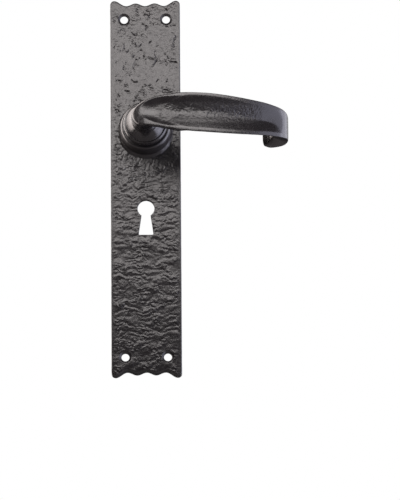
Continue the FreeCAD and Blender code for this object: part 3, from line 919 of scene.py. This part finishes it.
def shank_and_neck(shell):
    """Loops from the bottom of the spindle's socket, round the shank's end, to the neck."""
    loops = []

    def ring(flat, depth):
        loops.append(shell.loop(at_depth(around(flat), depth)))

    for depth in (SOCKET_END, 25.0, 12.0, 3.0, SHANK_END + 0.25):
        ring(square(SOCKET_HALF), depth)
    ring(square(SOCKET_HALF + 0.25), SHANK_END)
    end_face = [(6.3, SHANK_END, 0), (7.7, SHANK_END, 0), (SHANK_R, SHANK_END + 0.3, 0)]
    for r, depth in rounded(end_face):
        ring(squared(r, SHANK_FLAT), depth)
    low, high = GROOVE
    for r, depth in ((SHANK_R, low - 0.02), (GROOVE_R, low), (GROOVE_R, high),
                     (SHANK_R, high + 0.02), (SHANK_R, FLATS_END)):
        ring(squared(r, SHANK_FLAT), depth)
    for depth in (FLATS_END + 0.02, 12.0, 18.0, COLLAR_BACK - 0.4):
        ring(circle(SHANK_R), depth)
    for r, out in rounded(COLLAR, 0.45):
        uneven = []
        for x, z in circle(r):
            scale = 1 + 0.03 * noise.noise(Vector((x / 4, z / 4, out / 3))) / r
            uneven.append((x * scale, z * scale))
        ring(uneven, COLLAR_BACK + out)
    return loops


def domed_end(shell, loop, station):
    """Closes the curled end with a low dome over its last loop."""
    x, height, heading, _, top, bottom = station
    a = math.radians(heading)
    middle = Vector((x, -(PLATE_DEPTH + height), (top + bottom) / 2))
    tip = Vector((x + math.cos(a) * TIP_DOME,
                  -(PLATE_DEPTH + height + math.sin(a) * TIP_DOME), (top + bottom) / 2))
    rim = [Vector(shell.points[i]) for i in loop]
    for share, rise in ((0.93, 0.55), (0.75, 0.95), (0.45, 1.15)):
        centre = middle + (tip - middle) * (rise / TIP_DOME)
        inner = shell.loop([tuple(centre + (p - middle) * share) for p in rim])
        shell.bridge(loop, inner)
        loop = inner
    shell.fan(loop, tuple(tip))


def lever_mesh():
    """The whole lever casting, one chain of loops from the socket to the curled end."""
    shell = Shell()
    stations = grip_stations()
    loops = shank_and_neck(shell) + [shell.loop(cast_section(s)) for s in stations]
    shell.chain(loops)
    shell.fan(loops[0][::-1], (0.0, -SOCKET_END, 0.0))
    domed_end(shell, loops[-1], stations[-1])
    return shell


# ---- the return spring ----

def spring_mesh():
    """A close coil round the bush with a straight tang at each end."""
    wire, coil_r, turns, pitch = 0.85, 11.9, 4, 1.95
    tang, bend = 3.6, 0.6
    start = -cam_low[1] + 0.2 + wire
    end = start + turns * pitch
    path = [Vector((coil_r, -d, 0.0)) for d in np.linspace(-cam_high[1] + 0.5, start - bend, 4)]
    count = turns * 48
    for i in range(count + 1):
        a = 2 * math.pi * turns * i / count
        path.append(Vector((coil_r * math.cos(a), -(start + pitch * turns * i / count),
                            coil_r * math.sin(a))))
    path += [Vector((coil_r, -d, 0.0)) for d in np.linspace(end + bend, end + tang, 4)]
    shell = Shell()
    loops, side = [], Vector((1, 0, 0))
    for k, p in enumerate(path):
        ahead = (path[min(k + 1, len(path) - 1)] - path[max(k - 1, 0)]).normalized()
        side = (side - ahead * side.dot(ahead)).normalized()
        up = ahead.cross(side)
        loops.append(shell.loop([tuple(p + (side * math.cos(t) + up * math.sin(t)) * wire)
                                 for t in np.linspace(0, 2 * math.pi, 16, endpoint=False)]))
    shell.chain(loops)
    shell.fan(loops[0], tuple(path[0]))
    shell.fan(loops[-1], tuple(path[-1]))
    return shell, start, end


plate = plate_mesh().make("plate_casting", plate_black)
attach(plate, "plate")
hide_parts("backplate")

lever = lever_mesh().make("lever_casting", lever_black)
cast_share = lever.data.attributes.new("cast", "FLOAT", "POINT")
cast_share.data.foreach_set("value", [left_cast(*(v.co / MM)) for v in lever.data.vertices])
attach(lever, "lever")
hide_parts("lever")

spring_shell, spring_rear, spring_front = spring_mesh()
spring = spring_shell.make("spring_coil", spring_steel)
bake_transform(spring)
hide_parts("return_spring")

FINISHES = {
    "neck_bush": black_nylon, "rear_bush": black_nylon, "drive_cam": cam_steel,
    "stop_pin_rest": pin_steel, "stop_pin_travel": pin_steel, "wave_washer": spring_steel,
    "cover_plate": cover_steel, "cover_screw_upper": screw_steel,
    "cover_screw_lower": screw_steel, "thrust_washer": cam_steel, "circlip": spring_steel,
}
for node, finish in FINISHES.items():
    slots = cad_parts[node].data.materials
    slots.clear()
    slots.append(finish)


# ---- stage, light and camera ----

FLOOR_Z = -2.0


def floor():
    """A wide pale disc well below the plate, which the black coating doesn't mirror."""
    shell = Shell()
    rings = [shell.loop([(x, y, FLOOR_Z / MM) for x, y in circle(r, 64)])
             for r in (500.0, 1500.0, 4000.0)]
    shell.chain(rings)
    shell.fan(rings[0], (0.0, 0.0, FLOOR_Z / MM))
    obj = shell.make("floor", pale_floor())
    obj.visible_glossy = False


def softbox(name, size, place, aim, power, colour):
    """A rectangular area light in metres and watts, which the camera doesn't see."""
    light = bpy.data.lights.new(name, "AREA")
    light.shape = "RECTANGLE"
    light.size, light.size_y = size
    light.energy = power
    light.color = colour
    obj = bpy.data.objects.new(name, light)
    bpy.context.scene.collection.objects.link(obj)
    obj.location = place
    obj.rotation_euler = (Vector(aim) - Vector(place)).to_track_quat("-Z", "Y").to_euler()
    obj.visible_camera = False


def studio_world():
    """White all round for the camera; for the object, white behind and above, pale
    underneath and dark in front and low down behind."""
    world = bpy.data.worlds.new("studio")
    bpy.context.scene.world = world
    world.use_nodes = True
    tree = world.node_tree
    tree.nodes.clear()
    out = add(tree, "ShaderNodeOutputWorld")
    seen = add(tree, "ShaderNodeBackground")
    seen.inputs["Color"].default_value = (1.0, 1.0, 1.0, 1.0)
    lit = add(tree, "ShaderNodeBackground")
    where = add(tree, "ShaderNodeTexCoord")
    parts = add(tree, "ShaderNodeSeparateXYZ")
    tree.links.new(where.outputs["Generated"], parts.inputs["Vector"])
    shade = ramp(tree, parts.outputs["Y"], [(0.0, grey(0.03)), (0.02, grey(0.10)),
                                            (0.20, grey(0.70)), (1.0, grey(0.9))])
    upper = ramp(tree, parts.outputs["Z"], [(0.0, grey(0.05)), (0.10, grey(1.0))])
    down = add(tree, "ShaderNodeMath", operation="MULTIPLY")
    down.inputs[1].default_value = -1.0
    tree.links.new(parts.outputs["Z"], down.inputs[0])
    below = ramp(tree, down.outputs["Value"], [(0.42, grey(0.0)), (0.75, (0.36, 0.32, 0.32))])
    both = add(tree, "ShaderNodeVectorMath", operation="MULTIPLY_ADD")
    tree.links.new(shade, both.inputs[0])
    tree.links.new(upper, both.inputs[1])
    tree.links.new(below, both.inputs[2])
    tree.links.new(both.outputs["Vector"], lit.inputs["Color"])
    path = add(tree, "ShaderNodeLightPath")
    mix = add(tree, "ShaderNodeMixShader")
    tree.links.new(path.outputs["Is Camera Ray"], mix.inputs["Fac"])
    tree.links.new(lit.outputs["Background"], mix.inputs[1])
    tree.links.new(seen.outputs["Background"], mix.inputs[2])
    tree.links.new(mix.outputs["Shader"], out.inputs["Surface"])


def camera():
    """Four metres off and 13 degrees below the plate's normal, through a long lens."""
    distance, below, roll = 4000.0, math.radians(12.97), math.radians(-0.41)
    aim = Vector((37.9, -PLATE_DEPTH, -87.5))
    back = Vector((0.0, -math.cos(below), -math.sin(below)))
    right = Vector((1.0, 0.0, 0.0))
    up = back.cross(right)
    tipped_right = right * math.cos(roll) + up * math.sin(roll)
    tipped_up = back.cross(tipped_right)
    data = bpy.data.cameras.new("camera")
    data.lens, data.sensor_width = 408.9888, 36.0
    data.clip_start, data.clip_end = 0.1, 50.0
    obj = bpy.data.objects.new("camera", data)
    bpy.context.scene.collection.objects.link(obj)
    turn = Matrix((tipped_right, tipped_up, back)).transposed().to_4x4()
    obj.matrix_world = Matrix.Translation((aim + back * distance) * MM) @ turn
    bpy.context.scene.camera = obj


floor()
studio_world()
softbox("key", (0.85, 0.20), (-0.17, -0.40, 0.15), (-0.17, 0.0, 0.15), 3.3, (1.0, 0.95, 0.94))
softbox("left", (0.9, 2.3), (-1.2, 0.45, 0.45), (0.0, -0.03, 0.0), 38.0, (1.0, 0.90, 0.86))
softbox("right", (1.2, 1.3), (1.2, 0.40, -0.15), (0.05, -0.03, 0.0), 13.0, (0.84, 0.84, 1.0))
softbox("right_front", (1.5, 1.8), (1.2, -0.45, -0.2), (0.05, -0.03, 0.0), 19.0,
        (0.82, 0.82, 1.0))
camera()
bpy.context.scene.view_settings.view_transform = "Standard"
